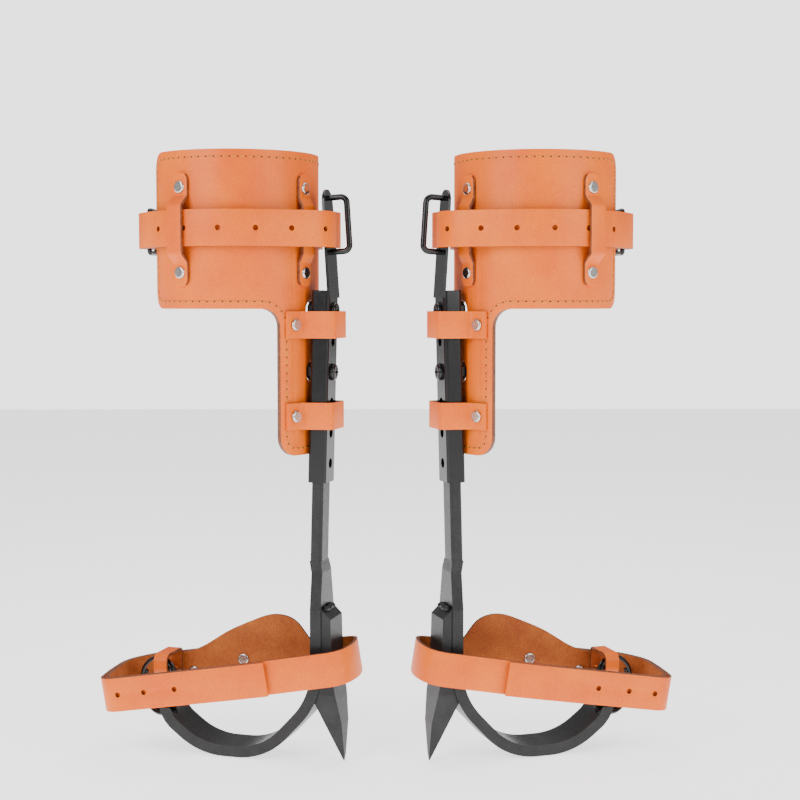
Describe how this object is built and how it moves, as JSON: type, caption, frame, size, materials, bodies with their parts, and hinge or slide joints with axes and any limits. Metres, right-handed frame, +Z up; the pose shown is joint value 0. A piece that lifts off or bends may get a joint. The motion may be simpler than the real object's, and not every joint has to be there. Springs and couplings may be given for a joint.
{
  "type": "tree climbing spurs",
  "caption": "Mirrored pair of climbing irons: forged stirrup and gaff, adjustable leg sleeve, leather calf cuff with buckled belt, and leather foot strap with a pad and ring.",
  "frame": {"origin": "middle of the pair's bounding box, on the ground plane that the stirrups and gaff tips touch", "axes": "+Z up along the legs, -Y towards the toes, +X towards the left-leg spur"},
  "size_m": [0.4786, 0.1462, 0.501],
  "materials": {
    "black_steel": "gloss black enamel over forged steel",
    "nickel": "polished nickel plate",
    "orange_leather": "satin orange veg tanned leather with burnished edges",
    "lining_leather": "brown orange flesh side leather",
    "thread": "waxed yellow orange thread"
  },
  "bodies": {
    "right_iron": {"right_shank": "black_steel", "right_gaff": "black_steel", "right_foot_strap": "orange_leather", "right_foot_buckle_frame": "black_steel", "right_heel_pad": "orange_leather", "right_ring_tab": "orange_leather", "right_pad_rivets": "nickel"},
    "right_cuff": {"right_sleeve": "black_steel", "right_strap_staple": "black_steel", "right_sleeve_screws": "black_steel", "right_sleeve_nuts": "black_steel", "right_cuff_outer": "orange_leather", "right_cuff_lining": "lining_leather", "right_lateral_keeper": "orange_leather", "right_medial_keeper": "orange_leather", "right_keeper_rivets": "nickel", "right_upper_sleeve_keeper": "orange_leather", "right_lower_sleeve_keeper": "orange_leather", "right_sleeve_keeper_rivets": "nickel", "right_calf_belt": "orange_leather", "right_calf_buckle_frame": "black_steel"},
    "right_ring": {"right_stirrup_ring": "black_steel"},
    "right_calf_prong": {"right_calf_buckle_prong": "black_steel"},
    "right_calf_roller": {"right_calf_buckle_roller": "black_steel"},
    "right_foot_prong": {"right_foot_buckle_prong": "black_steel"},
    "right_foot_roller": {"right_foot_buckle_roller": "black_steel"},
    "left_iron": {"left_shank": "black_steel", "left_gaff": "black_steel", "left_foot_strap": "orange_leather", "left_foot_buckle_frame": "black_steel", "left_heel_pad": "orange_leather", "left_ring_tab": "orange_leather", "left_pad_rivets": "nickel"},
    "left_cuff": {"left_sleeve": "black_steel", "left_strap_staple": "black_steel", "left_sleeve_screws": "black_steel", "left_sleeve_nuts": "black_steel", "left_cuff_outer": "orange_leather", "left_cuff_lining": "lining_leather", "left_lateral_keeper": "orange_leather", "left_medial_keeper": "orange_leather", "left_keeper_rivets": "nickel", "left_upper_sleeve_keeper": "orange_leather", "left_lower_sleeve_keeper": "orange_leather", "left_sleeve_keeper_rivets": "nickel", "left_calf_belt": "orange_leather", "left_calf_buckle_frame": "black_steel"},
    "left_ring": {"left_stirrup_ring": "black_steel"},
    "left_calf_prong": {"left_calf_buckle_prong": "black_steel"},
    "left_calf_roller": {"left_calf_buckle_roller": "black_steel"},
    "left_foot_prong": {"left_foot_buckle_prong": "black_steel"},
    "left_foot_roller": {"left_foot_buckle_roller": "black_steel"}
  },
  "joints": [
    {"name": "right_cuff_height", "type": "slide", "parent": "right_iron", "child": "right_cuff", "axis": [0.0251, -0.0075, 0.9997], "range_m": [-0.01, 0.025]},
    {"name": "right_ring_turn", "type": "hinge", "parent": "right_iron", "child": "right_ring", "pos_m": [-0.19431, 0.01413, 0.05219], "axis": [-0.7145, -0.6997, 0], "continuous": true},
    {"name": "right_calf_prong_lift", "type": "hinge", "parent": "right_cuff", "child": "right_calf_prong", "pos_m": [-0.19745, 0.00188, 0.439], "axis": [0, 0, 1], "range_deg": [0, 25]},
    {"name": "right_calf_roller_spin", "type": "hinge", "parent": "right_cuff", "child": "right_calf_roller", "pos_m": [-0.19561, 0.02581, 0.439], "axis": [0, 0, 1], "continuous": true},
    {"name": "right_foot_prong_lift", "type": "hinge", "parent": "right_iron", "child": "right_foot_prong", "pos_m": [-0.09686, 0.01635, 0.07505], "axis": [-0.153, 0.0042, 0.9882], "range_deg": [0, 25]},
    {"name": "right_foot_roller_spin", "type": "hinge", "parent": "right_iron", "child": "right_foot_roller", "pos_m": [-0.07389, 0.0104, 0.07863], "axis": [-0.153, 0.0042, 0.9882], "continuous": true},
    {"name": "left_cuff_height", "type": "slide", "parent": "left_iron", "child": "left_cuff", "axis": [-0.0251, -0.0075, 0.9997], "range_m": [-0.01, 0.025]},
    {"name": "left_ring_turn", "type": "hinge", "parent": "left_iron", "child": "left_ring", "pos_m": [0.19431, 0.01413, 0.05219], "axis": [0.7145, -0.6997, 0], "continuous": true},
    {"name": "left_calf_prong_lift", "type": "hinge", "parent": "left_cuff", "child": "left_calf_prong", "pos_m": [0.19745, 0.00188, 0.439], "axis": [0, 0, -1], "range_deg": [0, 25]},
    {"name": "left_calf_roller_spin", "type": "hinge", "parent": "left_cuff", "child": "left_calf_roller", "pos_m": [0.19561, 0.02581, 0.439], "axis": [0, 0, -1], "continuous": true},
    {"name": "left_foot_prong_lift", "type": "hinge", "parent": "left_iron", "child": "left_foot_prong", "pos_m": [0.09686, 0.01635, 0.07505], "axis": [-0.153, -0.0042, -0.9882], "range_deg": [0, 25]},
    {"name": "left_foot_roller_spin", "type": "hinge", "parent": "left_iron", "child": "left_foot_roller", "pos_m": [0.07389, 0.0104, 0.07863], "axis": [-0.153, -0.0042, -0.9882], "continuous": true},
    {"name": "pair_spacing", "type": "slide", "parent": "right_iron", "child": "left_iron", "axis": [1, 0, 0], "range_m": [0, 0.2]}
  ]
}
